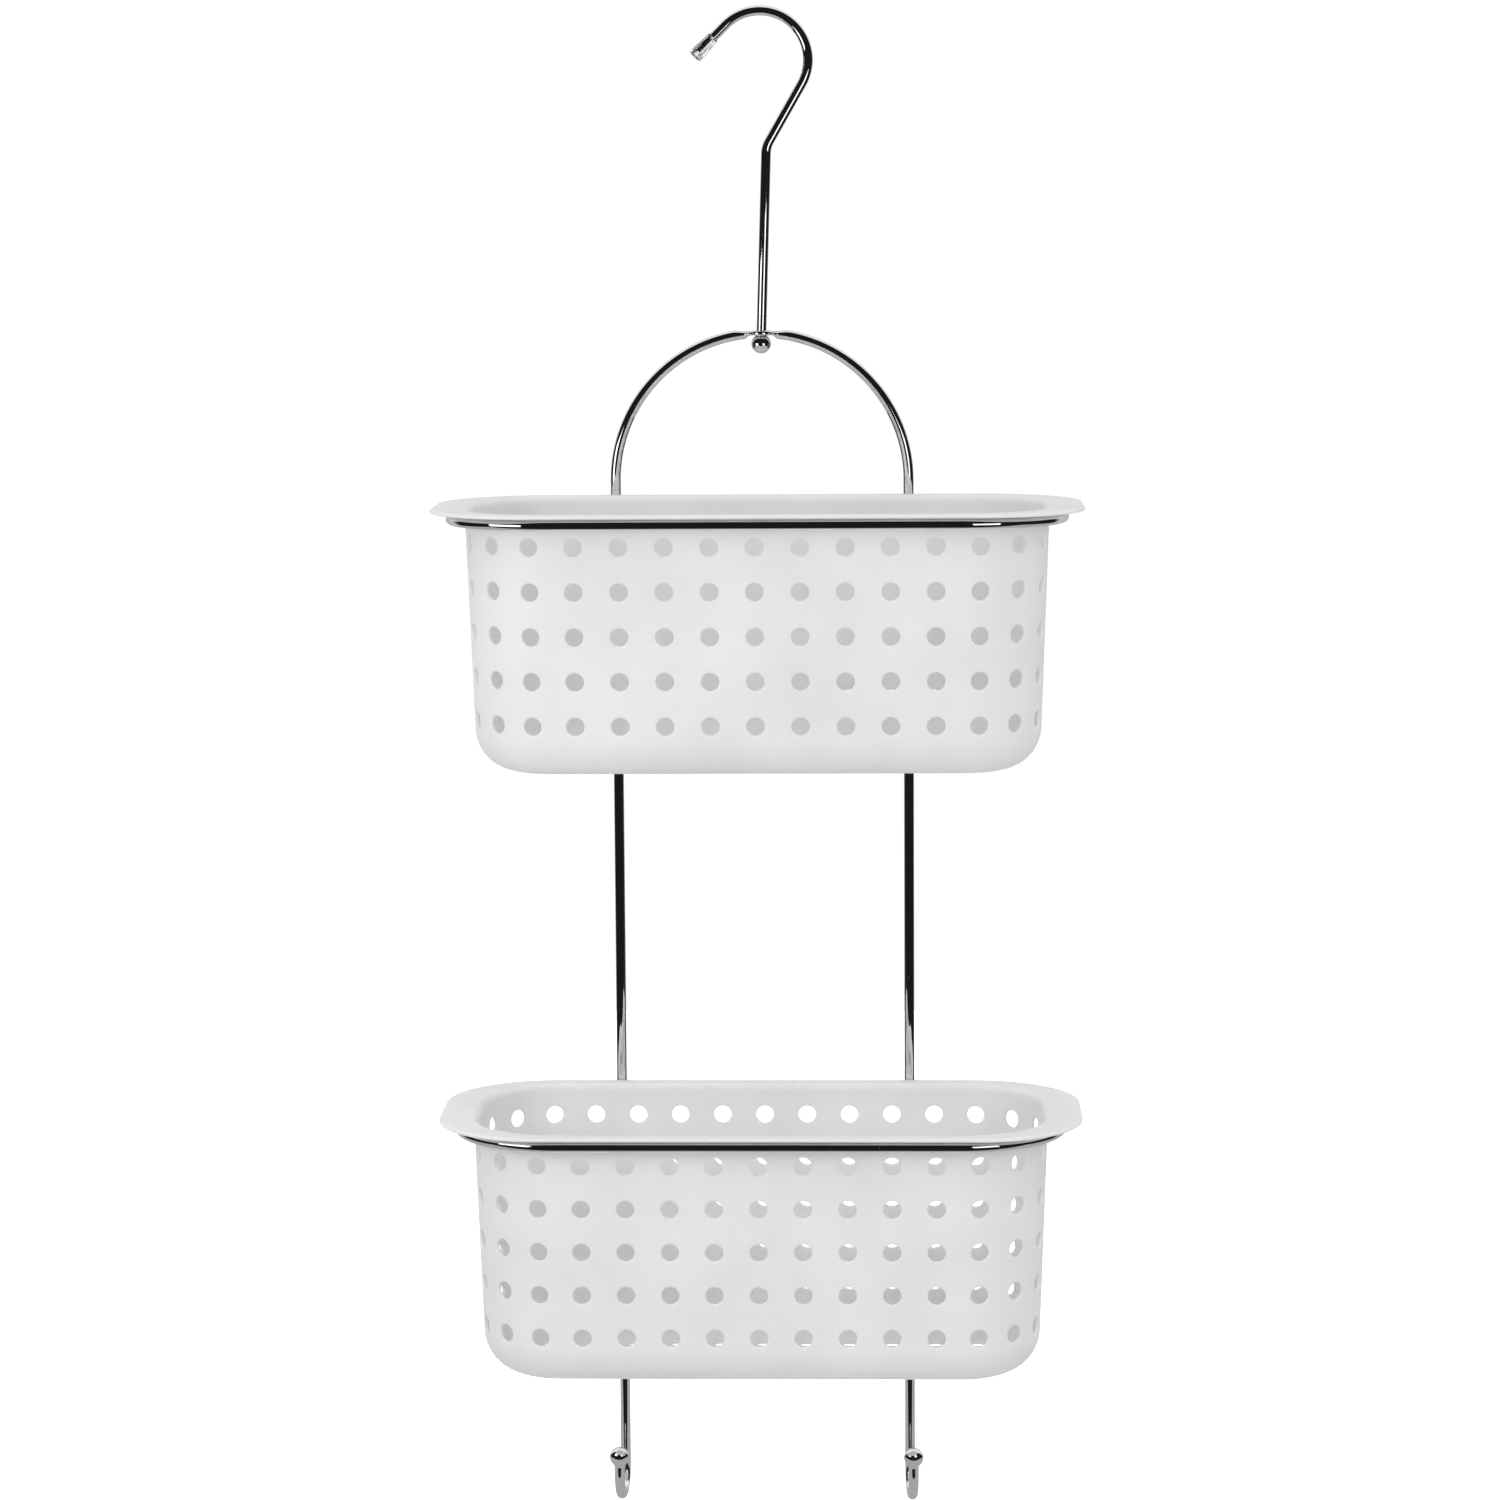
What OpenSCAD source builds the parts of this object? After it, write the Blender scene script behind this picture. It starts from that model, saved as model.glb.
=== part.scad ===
// Hanging shower caddy. A rail hook carries a bent wire frame on a ball swivel, and two
// rings welded to the frame's legs each hold a perforated basket that lifts out.
// The origin is the inside top of the rail hook, where it bears on a rail.
// +Z is up, +X is to the right and -Y is towards the user. Millimetres throughout.

/* [Wire] */
// Diameter of the frame's and the rings' wire
frame_wire = 5; // [4.6:0.1:5]
// Diameter of the rail hook's wire
hook_wire = 4.8; // [4.4:0.1:4.8]

/* [Rail hook] */
// Radius of the hook's arc, to the wire's centre
hook_r = 23.2; // [20:0.1:26]
// Angle the wire has turned past level when the arc ends at the tip
hook_tip_angle = 45; // [35:1:50]
// Straight run from the arc to the end of the wire, inside the cap
hook_tip_run = 19.3; // [15:0.1:20]
// Angle of the neck off vertical, between the arc and the stem
hook_neck_angle = 30; // [26:1:32]
// Lean of the stem off vertical
hook_lean = 1.8; // [1:0.1:1.8]
// Radius of the bend between the neck and the stem
hook_kink_r = 12; // [8:1:14]
// Depth of the swivel ball's centre below the rail
ball_depth = 156.4; // [150:0.1:170]
// Radius of the swivel ball
ball_r = 4.8; // [4.4:0.1:5]

/* [Tip cap] */
// Length of the plastic cap on the hook's tip
cap_length = 13.3; // [12:0.1:14]
// Length of solid plastic past the end of the wire
cap_solid = 2; // [1.5:0.1:3]
// Radius of the cap at its open end
cap_mouth_r = 2.75; // [2.7:0.05:3]
// Radius of the cap near its closed end
cap_end_r = 3.6; // [3.3:0.1:4]
// Rounding of the cap's closed end
cap_round_r = 1.4; // [0.8:0.1:1.8]

/* [Frame] */
// Radius of the arch, to the wire's centre: half the distance between the legs
arch_r = 71; // [65:1:80]
// Height of the flattened eyelet at the top of the arch
eyelet_t = 2.1; // [1.8:0.1:2.6]
// Radius of the flattened eyelet
eyelet_r = 5.2; // [5:0.1:6]
// Length of the flattened stretch of wire
eyelet_length = 15.4; // [14:0.1:18]
// Radial play between the eyelet's hole and the hook's wire
eyelet_play = 0.5; // [0.4:0.05:0.7]

/* [Utility hooks] */
// Depth of the hooks' bend centre below the rail
bend_depth = 713.5; // [680:0.5:740]
// Radius of the hooks' bend, to the wire's centre
bend_r = 12; // [10:0.5:14]
// Height of the end ball above the bend's centre
end_ball_rise = 10; // [8:0.5:12]
// Radius of the end ball
end_ball_r = 4.85; // [4.4:0.05:5.2]
// Outward turn of the hooks
toe_out = 4; // [0:1:6]

/* [Rings] */
// Depth of the upper ring below the rail
upper_depth = 233.5; // [228:0.5:240]
// Distance from the upper ring down to the lower ring
ring_spacing = 289; // [280:1:300]
// Bite of each weld where a ring crosses a leg
weld_bite = 0.2; // [0.1:0.05:0.3]
// Gap from the ring's centre to the basket's wall
ring_gap = 6.6; // [6:0.1:7]

/* [Baskets] */
// Width of the basket at ring level, outside its walls
basket_w = 272; // [262:1:276]
// Depth of the basket at ring level, outside its walls
basket_d = 116.8; // [110:0.1:120]
// Radius of the basket's upright corners at ring level
corner_r = 42; // [40:1:44]
// Depth of the basket's underside below its ring
basket_h = 118; // [117:0.5:122]
// Radius between the walls and the floor, outside
bottom_r = 20; // [16:1:20]
// Thickness of the walls
wall_t = 1.8; // [1.6:0.1:2]
// Draft of the walls
draft = 2; // [1:0.5:2]

/* [Basket rim] */
// Width of the rim over its two ends
rim_w = 305; // [300:1:312]
// Overhang of the rim past the ring's centre, at the front
rim_front = 2.4; // [2:0.1:3]
// Gap between the rim and the legs
rim_leg_gap = 0.4; // [0.3:0.1:0.8]
// Radius of the rim's corners
rim_corner_r = 50; // [46:1:54]
// Radius of the turn from the wall to the rim, on its inside
rim_turn_r = 1.5; // [1:0.1:1.6]

/* [Drain holes] */
// Diameter of the holes
hole_d = 8.5; // [7:0.5:9]
// Columns of holes round the walls
hole_columns = 34; // [30:2:34]
// Rows of holes up the walls
hole_rows = 5; // [3:1:5]
// Depth of the top row below the ring
hole_top = 10.6; // [9:0.1:11]
// Holes along each row of the floor
floor_columns = 11; // [7:2:11]
// Rows of holes across the floor
floor_rows = 3; // [1:2:3]

/* [Hidden] */
$fn = 96;
LEFT = -1;
RIGHT = 1;
QUARTER = [0, 1, 2, 3];
cut = 1;              // how far a cutting solid runs past the face it cuts
rest_gap = 0.3;       // gap drawn between a piece and the other body that it rests on
lap = 0.5;            // how far a straight run of wire reaches into the bend after it
bend_swell = 0.08;    // bends are drawn this much thicker, so that the runs end inside them

// Rail hook: the arc's centre lies under the origin, and the neck meets the leaning stem
arc_z = hook_wire / 2 - hook_r;
neck_top = [hook_r * cos(hook_neck_angle), arc_z - hook_r * sin(hook_neck_angle) + ball_depth];
kink_angle = hook_neck_angle - hook_lean;
kink_cut = hook_kink_r * tan(kink_angle / 2);
stem_run = (neck_top[1] * sin(hook_neck_angle) - neck_top[0] * cos(hook_neck_angle))
    / sin(kink_angle) - kink_cut;
neck_run = (neck_top[0] * cos(hook_lean) - neck_top[1] * sin(hook_lean))
    / sin(kink_angle) - kink_cut;
arc_turn = 180 - hook_tip_angle + hook_neck_angle;
cap_grip = cap_length - cap_solid;

// Frame: the ball bears under the eyelet, and the arch runs down into the legs
eye_hole_r = hook_wire / 2 + eyelet_play;
eye_top = -ball_depth + sqrt(ball_r * ball_r - eye_hole_r * eye_hole_r) + rest_gap + eyelet_t;
arch_z = eye_top - eyelet_t / 2 - arch_r;
leg_run = bend_depth + arch_z;
socket = 3;

// Rings and baskets, all centred between the ring's front and back
ring_back = weld_bite - frame_wire;
ring_d = basket_d + 2 * ring_gap;
ring_corner_r = corner_r + ring_gap;
ring_y = ring_back - ring_d / 2;
lower_depth = upper_depth + ring_spacing;

// The spine joins the centres of the four upright corners
spine_x = basket_w / 2 - corner_r;
spine_y = basket_d / 2 - corner_r;
slope = tan(draft);
skin = wall_t * cos(draft);
rim_z = frame_wire / 2 + rest_gap;
turn_z = rim_z - rim_turn_r;
turn_in_r = corner_r + turn_z * slope + rim_turn_r;
ledge = 1.5;          // flat ledge past the turn, which the rim's plate overlaps
ledge_r = turn_in_r + ledge / 2;
rim_back_y = -frame_wire / 2 - rim_leg_gap - ring_y;
rim_front_y = -ring_d / 2 - rim_front;
round_z = bottom_r - basket_h;
round_in_r = corner_r + round_z * slope - bottom_r / cos(draft);

// Holes run round the wall at one pitch, counted from the middle of the front
corner_arc = PI * corner_r / 2;
half_girth = 2 * spine_x + 2 * spine_y + 2 * corner_arc;
hole_pitch = 2 * half_girth / hole_columns;

// A wire that starts at the origin, heads up +Z and follows a list of moves, as on a wire
// bender: [feed] runs straight on, and [radius, angle, roll] bends towards the side that
// roll gives round the wire, where 0 is +X and 90 is +Y.
module wire_run(moves, d, i = 0) {
    if (i < len(moves)) {
        move = moves[i];
        if (len(move) == 1) {
            lap_in = i > 0 ? lap : 0;
            lap_out = i < len(moves) - 1 ? lap : 0;
            translate([0, 0, -lap_in])
                cylinder(d = d, h = move[0] + lap_in + lap_out);
            translate([0, 0, move[0]])
                wire_run(moves, d, i + 1);
        } else {
            rotate([0, 0, move[2]])
                translate([move[0], 0, 0]) {
                    rotate([90, 0, 180])
                        rotate_extrude(angle = move[1])
                            translate([move[0], 0])
                                circle(d = d + bend_swell);
                    rotate([0, move[1], 0])
                        translate([-move[0], 0, 0])
                            rotate([0, 0, -move[2]])
                                wire_run(moves, d, i + 1);
                }
        }
    }
}

// Sweeps a profile, drawn from a corner's centre outwards, round the four corners and sides
module loop_sweep(half_x, half_y) {
    for (k = QUARTER) {
        translate([half_x * sign(cos(90 * k + 45)), half_y * sign(sin(90 * k + 45)), 0])
            rotate([0, 0, 90 * k]) {
                rotate_extrude(angle = 90)
                    children();
                rotate([90, 0, 0])
                    linear_extrude(k % 2 == 0 ? 2 * half_y : 2 * half_x)
                        children();
            }
    }
}

// A rectangle with round corners, given by its sides
module round_plate(half_x, front, back, r) {
    translate([-half_x, front + r])
        square([2 * half_x, back - front - 2 * r]);
    translate([r - half_x, front])
        square([2 * (half_x - r), back - front]);
    for (x = [r - half_x, half_x - r], y = [front + r, back - r])
        translate([x, y])
            circle(r = r);
}

module hook_wire() {
    color("silver")
        translate([0, 0, -ball_depth])
            rotate([0, hook_lean, 0])
                wire_run([
                    [stem_run],
                    [hook_kink_r, kink_angle, 0],
                    [neck_run],
                    [hook_r, arc_turn, 180],
                    [hook_tip_run]
                ], hook_wire);
}

// Clear cap pushed over the hook's tip, thicker and rounded at its closed end
module hook_tip_cap() {
    tip_x = -hook_r * sin(hook_tip_angle);
    tip_z = arc_z + hook_r * cos(hook_tip_angle);
    color("white", 0.5)
        translate([tip_x, 0, tip_z])
            rotate([0, hook_tip_angle - 180, 0])
                translate([0, 0, hook_tip_run - cap_grip])
                    difference() {
                        rotate_extrude() {
                            polygon([
                                [0, 0], [cap_mouth_r, 0],
                                [cap_end_r, cap_length - cap_round_r],
                                [cap_end_r - cap_round_r, cap_length - cap_round_r],
                                [cap_end_r - cap_round_r, cap_length],
                                [0, cap_length]
                            ]);
                            translate([cap_end_r - cap_round_r, cap_length - cap_round_r])
                                intersection() {
                                    circle(r = cap_round_r);
                                    square(cap_round_r);
                                }
                        }
                        translate([0, 0, -cut])
                            cylinder(d = hook_wire, h = cap_grip + cut);
                    }
}

// Ball pressed on the stem's lower end, with the stem in its upper half
module swivel_ball() {
    color("silver")
        translate([0, 0, -ball_depth])
            difference() {
                sphere(r = ball_r);
                rotate([0, hook_lean, 0])
                    cylinder(d = hook_wire, h = ball_r + cut);
            }
}

// Top of the frame: half a circle of wire, flattened at its middle into the swivel's eyelet
module frame_arch() {
    flat_half = eyelet_length / 2;
    end_half = frame_wire / 3;
    color("silver")
        difference() {
            union() {
                difference() {
                    translate([0, 0, arch_z])
                        rotate([90, 0, 0])
                            rotate_extrude(angle = 180)
                                translate([arch_r, 0])
                                    circle(d = frame_wire);
                    for (z = [eye_top, eye_top - eyelet_t - frame_wire])
                        translate([-flat_half, -frame_wire, z])
                            cube([eyelet_length, 2 * frame_wire, frame_wire]);
                }
                translate([0, 0, eye_top - eyelet_t]) {
                    cylinder(r = eyelet_r, h = eyelet_t);
                    for (side = [LEFT, RIGHT])
                        linear_extrude(eyelet_t)
                            polygon([
                                [0, -eyelet_r], [side * flat_half, -end_half],
                                [side * flat_half, end_half], [0, eyelet_r]
                            ]);
                }
            }
            translate([0, 0, eye_top - eyelet_t - cut])
                cylinder(r = eye_hole_r, h = eyelet_t + 2 * cut);
        }
}

module leg(side) {
    color("silver")
        translate([side * arch_r, 0, -bend_depth])
            cylinder(d = frame_wire, h = leg_run);
}

// End of a leg, bent forwards and up into a hook
module utility_hook(side) {
    color("silver")
        translate([side * arch_r, 0, -bend_depth])
            rotate([180, 0, 0])
                wire_run([
                    [bend_r, 180, 90 - side * toe_out],
                    [end_ball_rise - end_ball_r + socket]
                ], frame_wire);
}

module hook_ball(side) {
    color("silver")
        translate([
            side * (arch_r + 2 * bend_r * sin(toe_out)),
            -2 * bend_r * cos(toe_out),
            end_ball_rise - bend_depth
        ])
            difference() {
                sphere(r = end_ball_r);
                translate([0, 0, -end_ball_r - cut])
                    cylinder(d = frame_wire, h = socket + cut);
            }
}

// Closed loop of wire, welded to the front of both legs
module ring(depth) {
    color("silver")
        translate([0, ring_y, -depth])
            loop_sweep(spine_x, spine_y)
                translate([ring_corner_r, 0])
                    circle(d = frame_wire);
}

// Section through a wall, the round under it and the turn above it, from a corner's centre
module wall_section() {
    difference() {
        wall_outline(bottom_r, 0, turn_z);
        wall_outline(bottom_r - skin, wall_t, turn_z);
    }
    intersection() {
        translate([turn_in_r, turn_z])
            difference() {
                circle(r = rim_turn_r + wall_t);
                circle(r = rim_turn_r);
            }
        translate([turn_in_r - 2 * wall_t - rim_turn_r, turn_z])
            square([2 * wall_t + rim_turn_r, rim_turn_r + 2 * wall_t]);
    }
    translate([turn_in_r, rim_z])
        square([ledge, wall_t]);
}

// Everything inside a drafted wall that stands inset from the outer one, up to a height
module wall_outline(r, inset, top) {
    meet = [round_in_r + r * cos(draft), round_z - r * sin(draft)];
    polygon([
        [round_in_r, round_z - r],
        [round_in_r, top],
        [corner_r + top * slope - inset, top],
        meet,
        [round_in_r, round_z]
    ]);
    intersection() {
        translate([round_in_r, round_z])
            circle(r = r);
        translate([round_in_r, round_z - r])
            square([r, r]);
    }
}

// Where a hole lies at a distance along the wall from the front's middle: x, y, direction
function hole_spot(s) =
    s <= spine_x ? [s, -spine_y, -90] :
    s <= spine_x + corner_arc ? [spine_x, -spine_y, 90 * (s - spine_x) / corner_arc - 90] :
    s <= half_girth - spine_x - corner_arc ? [spine_x, s - half_girth / 2, 0] :
    s <= half_girth - spine_x ? [spine_x, spine_y, 90 - 90 * (half_girth - spine_x - s) / corner_arc] :
    [half_girth - s, spine_y, 90];

module drain_holes() {
    last = hole_columns / 2;
    reach = 4 * wall_t;
    for (row = [0:hole_rows - 1], i = [1 - last:last]) {
        spot = hole_spot(abs(i) * hole_pitch);
        mirror([i < 0 ? 1 : 0, 0, 0])
            translate([spot[0], spot[1], -hole_top - row * hole_pitch])
                rotate([0, 90, spot[2]])
                    translate([0, 0, corner_r - reach])
                        cylinder(d = hole_d, h = reach + 2 * wall_t);
    }
    for (i = [0:floor_columns - 1], j = [0:floor_rows - 1])
        translate([
            (i - (floor_columns - 1) / 2) * hole_pitch,
            (j - (floor_rows - 1) / 2) * hole_pitch,
            -basket_h - cut
        ])
            cylinder(d = hole_d, h = skin + 2 * cut);
}

// Moulded basket whose rim rests on its ring
module basket(depth) {
    bead_in = wall_t / 2;
    color("whitesmoke", 0.7)
        translate([0, ring_y, -depth])
            difference() {
                union() {
                    loop_sweep(spine_x, spine_y)
                        wall_section();
                    translate([0, 0, -basket_h])
                        linear_extrude(skin)
                            round_plate(
                                spine_x + round_in_r, -spine_y - round_in_r,
                                spine_y + round_in_r, round_in_r
                            );
                    translate([0, 0, rim_z])
                        linear_extrude(wall_t)
                            difference() {
                                round_plate(
                                    rim_w / 2 - bead_in, rim_front_y + bead_in,
                                    rim_back_y - bead_in, rim_corner_r - bead_in
                                );
                                round_plate(
                                    spine_x + ledge_r, -spine_y - ledge_r,
                                    spine_y + ledge_r, ledge_r
                                );
                            }
                    translate([0, (rim_front_y + rim_back_y) / 2, rim_z + bead_in])
                        loop_sweep(
                            rim_w / 2 - rim_corner_r,
                            (rim_back_y - rim_front_y) / 2 - rim_corner_r
                        )
                            translate([rim_corner_r - bead_in, 0])
                                circle(r = bead_in);
                }
                drain_holes();
            }
}

hook_wire();
hook_tip_cap();
swivel_ball();
frame_arch();
leg(LEFT);  // left_leg
leg(RIGHT);  // right_leg
utility_hook(LEFT);  // left_utility_hook
utility_hook(RIGHT);  // right_utility_hook
hook_ball(LEFT);  // left_hook_ball
hook_ball(RIGHT);  // right_hook_ball
ring(upper_depth);  // upper_ring
ring(lower_depth);  // lower_ring
basket(upper_depth);  // upper_basket
basket(lower_depth);  // lower_basket
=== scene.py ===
"""Looks of the hanging shower caddy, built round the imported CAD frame. All sizes are in metres."""
import math

import bmesh
import bpy
import numpy as np
from mathutils import Matrix, Vector
from mathutils.geometry import delaunay_2d_cdt


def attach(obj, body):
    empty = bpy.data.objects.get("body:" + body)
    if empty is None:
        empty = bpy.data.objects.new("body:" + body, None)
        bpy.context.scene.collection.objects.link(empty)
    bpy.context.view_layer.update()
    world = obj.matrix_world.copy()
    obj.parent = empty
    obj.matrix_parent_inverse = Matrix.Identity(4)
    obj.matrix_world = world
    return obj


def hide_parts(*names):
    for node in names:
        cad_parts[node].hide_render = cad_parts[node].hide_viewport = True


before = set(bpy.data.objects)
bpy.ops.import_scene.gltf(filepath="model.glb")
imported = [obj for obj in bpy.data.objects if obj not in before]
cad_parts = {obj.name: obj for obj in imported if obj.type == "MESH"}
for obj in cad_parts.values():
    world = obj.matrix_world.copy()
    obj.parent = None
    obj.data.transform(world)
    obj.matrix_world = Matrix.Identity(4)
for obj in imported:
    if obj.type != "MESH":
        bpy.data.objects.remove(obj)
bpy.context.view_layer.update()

MM = 0.001

# Wire, the same as the CAD
FRAME_WIRE_R = 2.5 * MM
HOOK_WIRE_R = 2.4 * MM
HOOK_R = 23.2 * MM
HOOK_TIP_ANGLE = math.radians(45)
HOOK_TIP_RUN = 19.3 * MM
HOOK_NECK_ANGLE = math.radians(30)
HOOK_LEAN = math.radians(1.8)
HOOK_KINK_R = 12 * MM
BALL_DEPTH = 156.4 * MM
BALL_R = 4.8 * MM
BALL_FLAT = 0.985
ARCH_R = 71 * MM
EYELET_T = 2.1 * MM
EYELET_R = 5.2 * MM
EYE_HOLE_R = 2.9 * MM
REST_GAP = 0.3 * MM
BEND_DEPTH = 713.5 * MM
BEND_R = 12 * MM
END_BALL_RISE = 10 * MM
END_BALL_R = 4.85 * MM
TOE_OUT = math.radians(4)
TOE_X = 2 * BEND_R * math.sin(TOE_OUT)
TOE_Y = 2 * BEND_R * math.cos(TOE_OUT)
WIRE_SIDES = 28
BALL_SIDES = 48

# The frame's wire at the apex: where it starts and is pressed, measured out from the eye's middle
WIRE_STARTS = 3.6 * MM
FINE_ENDS = 10.4 * MM
TOP_PRESSED_FROM = 14 * MM
FOOT_PRESSED_FROM = 8.4 * MM
FULLY_PRESSED = 5.4 * MM

# Spacing of its rings there, how much wider the pressing makes it, and the eyelet's rounded edge
FINE_STEP = 0.42 * MM
FINE_STEPS = 16
PRESSED_SPREAD = 1.3 * MM
EYELET_EDGE = 0.5 * MM

# Tip cap
CAP_LENGTH = 13.3 * MM
CAP_SOLID = 2 * MM
CAP_MOUTH_R = 2.75 * MM
CAP_END_R = 3.6 * MM
CAP_ROUND_R = 1.4 * MM
CAP_SIDES = 96
CAP_FLUTES = 12
CAP_FLUTE_DEPTH = 0.22 * MM
CAP_LIP = 0.1 * MM
CAP_GAP = 0.04 * MM

# Rings and baskets
UPPER_Z = -233.5 * MM
LOWER_Z = -522.5 * MM
RING_GAP = 6.6 * MM
SPINE_X = 94 * MM
SPINE_Y = 16.4 * MM
CORNER_R = 42 * MM
WELD_BITE = 0.2 * MM
BUTT_SWELL = 0.09 * MM
BEAD_SIZE = (1.7 * MM, 1.5 * MM, 1.3 * MM)
BEAD_RISE = 1.3 * MM
BEAD_SIDES = 24
RING_STEPS = 288
RING_Y = WELD_BITE - 2 * FRAME_WIRE_R - SPINE_Y - CORNER_R - RING_GAP
BASKET_H = 118 * MM
BOTTOM_R = 20 * MM
WALL_T = 1.8 * MM
DRAFT = math.radians(2)
RIM_HALF_W = 152.49 * MM
RIM_FRONT = -67.4 * MM
RIM_BACK = 66.9 * MM
RIM_CORNER_R = 50 * MM
TURN_R = 1.5 * MM
HOLE_R = 4.25 * MM
HOLE_ROUND = 0.35 * MM
COLUMNS = 34
ROWS = 5
HOLE_TOP = -10.6 * MM
FLOOR_COLUMNS = 11
FLOOR_ROWS = 3

ARC_Z = HOOK_WIRE_R - HOOK_R
EYE_TOP = -BALL_DEPTH + math.sqrt(BALL_R ** 2 - EYE_HOLE_R ** 2) + REST_GAP + EYELET_T
ARCH_Z = EYE_TOP - EYELET_T / 2 - ARCH_R
SLOPE = math.tan(DRAFT)
SKIN = WALL_T * math.cos(DRAFT)
RIM_Z = FRAME_WIRE_R + REST_GAP
TURN_Z = RIM_Z - TURN_R
TURN_IN_R = CORNER_R + TURN_Z * SLOPE + TURN_R
ROUND_Z = BOTTOM_R - BASKET_H
ROUND_IN_R = CORNER_R + ROUND_Z * SLOPE - BOTTOM_R / math.cos(DRAFT)
MEET_Z = ROUND_Z - BOTTOM_R * math.sin(DRAFT)
CORNER_ARC = math.pi * CORNER_R / 2
HALF_GIRTH = 2 * SPINE_X + 2 * SPINE_Y + 2 * CORNER_ARC
PITCH = 2 * HALF_GIRTH / COLUMNS


# ---------------------------------------------------------------- meshes

def new_mesh(name, verts, faces):
    mesh = bpy.data.meshes.new(name)
    mesh.from_pydata([tuple(v) for v in verts], [], faces)
    mesh.validate()
    skin = bmesh.new()
    skin.from_mesh(mesh)
    bmesh.ops.recalc_face_normals(skin, faces=skin.faces)
    skin.to_mesh(mesh)
    skin.free()
    mesh.shade_smooth()
    mesh.update()
    return mesh


def new_piece(name, mesh, body, material, slot, *nodes):
    """One piece that rides on a body, takes a material and stands for CAD nodes. Its slot is not
    used.
    """
    obj = bpy.data.objects.new(name, mesh)
    bpy.context.scene.collection.objects.link(obj)
    obj.data.materials.clear()
    obj.data.materials.append(material)
    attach(obj, body)
    if nodes:
        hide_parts(*nodes)
    return obj


def tube_rings(path, sections, side_hint, closed=False):
    """Rings of points along a path. sections gives each ring's outline in the path's own frame."""
    path = np.asarray(path, float)
    count = len(path)
    ahead = np.roll(path, -1, axis=0)
    behind = np.roll(path, 1, axis=0)
    tangents = ahead - behind
    if not closed:
        tangents[0] = path[1] - path[0]
        tangents[-1] = path[-1] - path[-2]
    tangents /= np.linalg.norm(tangents, axis=1)[:, None]
    rings = []
    side = np.asarray(side_hint, float)
    for i in range(count):
        side = side - tangents[i] * (side @ tangents[i])
        side /= np.linalg.norm(side)
        up = np.cross(tangents[i], side)
        outline = sections(i)
        rings.append(path[i] + outline[:, :1] * side + outline[:, 1:] * up)
    return rings, tangents


def circle_outline(radius, sides):
    angles = np.arange(sides) * 2 * math.pi / sides
    return np.stack([radius * np.cos(angles), radius * np.sin(angles)], axis=1)


def bridge(faces, a, b, sides):
    """Quads between two rings that start at vertex a and vertex b."""
    for k in range(sides):
        n = (k + 1) % sides
        faces.append((a + k, a + n, b + n, b + k))


def wire_mesh(name, path, radius, side_hint, closed=False, sections=None):
    """Round wire along a path, with rounded ends."""
    sides = WIRE_SIDES
    if sections is None:
        outline = circle_outline(radius, sides)

        def sections(i):
            return outline
    rings, tangents = tube_rings(path, sections, side_hint, closed)
    verts = np.concatenate(rings)
    faces = []
    count = len(rings)
    for i in range(count if closed else count - 1):
        bridge(faces, i * sides, (i + 1) % count * sides, sides)
    if not closed:
        verts = list(verts)
        for ring, centre, out, first in (
            (rings[0], path[0], -tangents[0], True),
            (rings[-1], path[-1], tangents[-1], False),
        ):
            previous = 0 if first else (count - 1) * sides
            for turn in (30, 60, 85):
                shrink = math.cos(math.radians(turn))
                push = radius * 0.35 * math.sin(math.radians(turn))
                start = len(verts)
                verts += list(np.asarray(centre) + (ring - centre) * shrink + out * push)
                if first:
                    bridge(faces, start, previous, sides)
                else:
                    bridge(faces, previous, start, sides)
                previous = start
            loop = list(range(previous, previous + sides))
            faces.append(tuple(loop[::-1] if first else loop))
    return new_mesh(name, verts, faces)


def revolve_mesh(name, profile, sides, place, flute=0.0, flutes=0, bore=0.0):
    """Turns a profile of (radius, height) points round an axis. A radius of 0 closes an end.
    Flutes of the given depth run along the outside, wherever it is wider than the bore."""
    verts = []
    faces = []
    starts = []
    for radius, height in profile:
        starts.append(len(verts))
        if radius == 0:
            verts.append(place @ Vector((0, 0, height)))
            continue
        for k in range(sides):
            a = 2 * math.pi * k / sides
            r = radius
            if radius > bore:
                r -= flute * (1 - math.cos(flutes * a)) / 2
            verts.append(place @ Vector((r * math.cos(a), r * math.sin(a), height)))
    for i in range(len(profile) - 1):
        a = starts[i]
        b = starts[i + 1]
        if profile[i][0] == 0:
            faces += [(a, b + (k + 1) % sides, b + k) for k in range(sides)]
        elif profile[i + 1][0] == 0:
            faces += [(a + k, a + (k + 1) % sides, b) for k in range(sides)]
        else:
            bridge(faces, a, b, sides)
    return new_mesh(name, verts, faces)


def arc_points(centre_x, centre_z, radius, start, end, steps):
    """Points of an arc in the X-Z plane, without its first point. Angles are in radians."""
    found = []
    for i in range(1, steps + 1):
        a = start + (end - start) * i / steps
        found.append((centre_x + radius * math.cos(a), centre_z + radius * math.sin(a)))
    return found


def line_points(start, end, steps):
    """Points of a straight run, without its first point."""
    return [
        tuple(s + (e - s) * i / steps for s, e in zip(start, end)) for i in range(1, steps + 1)
    ]


# ---------------------------------------------------------------- rail hook and frame

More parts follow.
